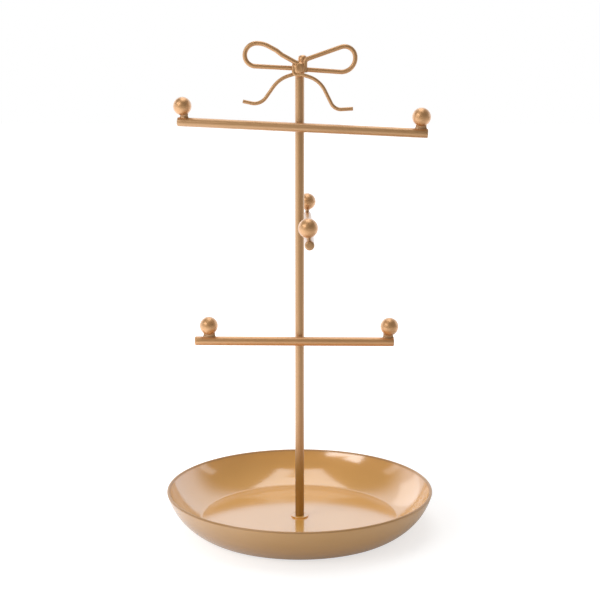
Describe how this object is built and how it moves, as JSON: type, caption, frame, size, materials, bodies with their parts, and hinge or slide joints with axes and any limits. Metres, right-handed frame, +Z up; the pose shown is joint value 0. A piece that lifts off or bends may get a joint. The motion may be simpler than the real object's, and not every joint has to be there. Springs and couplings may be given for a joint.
{
  "type": "jewellery tree stand",
  "caption": "Gold jewellery tree: upright post with ball-ended crossbars and a wire bow on top, turning on a round dish that it is screwed to.",
  "frame": {"origin": "on the table plane, under the middle of the dish", "axes": "+Z up along the post, +X to the right and +Y to the back, as the picture sees the stand from the front"},
  "size_m": [0.18, 0.18, 0.3245],
  "materials": {
    "dish_gold": "glossy gold lacquer over cast metal",
    "rod_gold": "satin gold lacquer over drawn steel rod",
    "ball_gold": "satin gold lacquer over steel balls",
    "weld_gold": "gold lacquer over dressed weld and braze",
    "wire_gold": "satin gold lacquer over bent steel wire",
    "pad_foam": "matt closed-cell foam rubber",
    "screw_steel": "zinc-plated steel"
  },
  "bodies": {
    "base": {"dish": "dish_gold", "base_pad": "pad_foam"},
    "tree": {"seat_ring": "rod_gold", "under_washer": "screw_steel", "clamp_screw": "screw_steel", "post": "rod_gold", "upper_bar": "rod_gold", "upper_weld": "weld_gold", "upper_left_ball": "ball_gold", "upper_left_neck": "weld_gold", "upper_right_ball": "ball_gold", "upper_right_neck": "weld_gold", "middle_bar": "rod_gold", "middle_weld": "weld_gold", "middle_rear_ball": "ball_gold", "middle_rear_neck": "weld_gold", "middle_front_ball": "ball_gold", "middle_front_neck": "weld_gold", "lower_bar": "rod_gold", "lower_weld": "weld_gold", "lower_left_ball": "ball_gold", "lower_left_neck": "weld_gold", "lower_right_ball": "ball_gold", "lower_right_neck": "weld_gold", "left_loop": "wire_gold", "right_loop": "wire_gold", "left_tail": "wire_gold", "right_tail": "wire_gold", "knot_tuck": "wire_gold", "knot_bead": "weld_gold"}
  },
  "joints": [
    {"name": "tree_turn", "type": "hinge", "parent": "base", "child": "tree", "pos_m": [0, 0, 0.005], "axis": [0, 0, 1], "continuous": true}
  ]
}
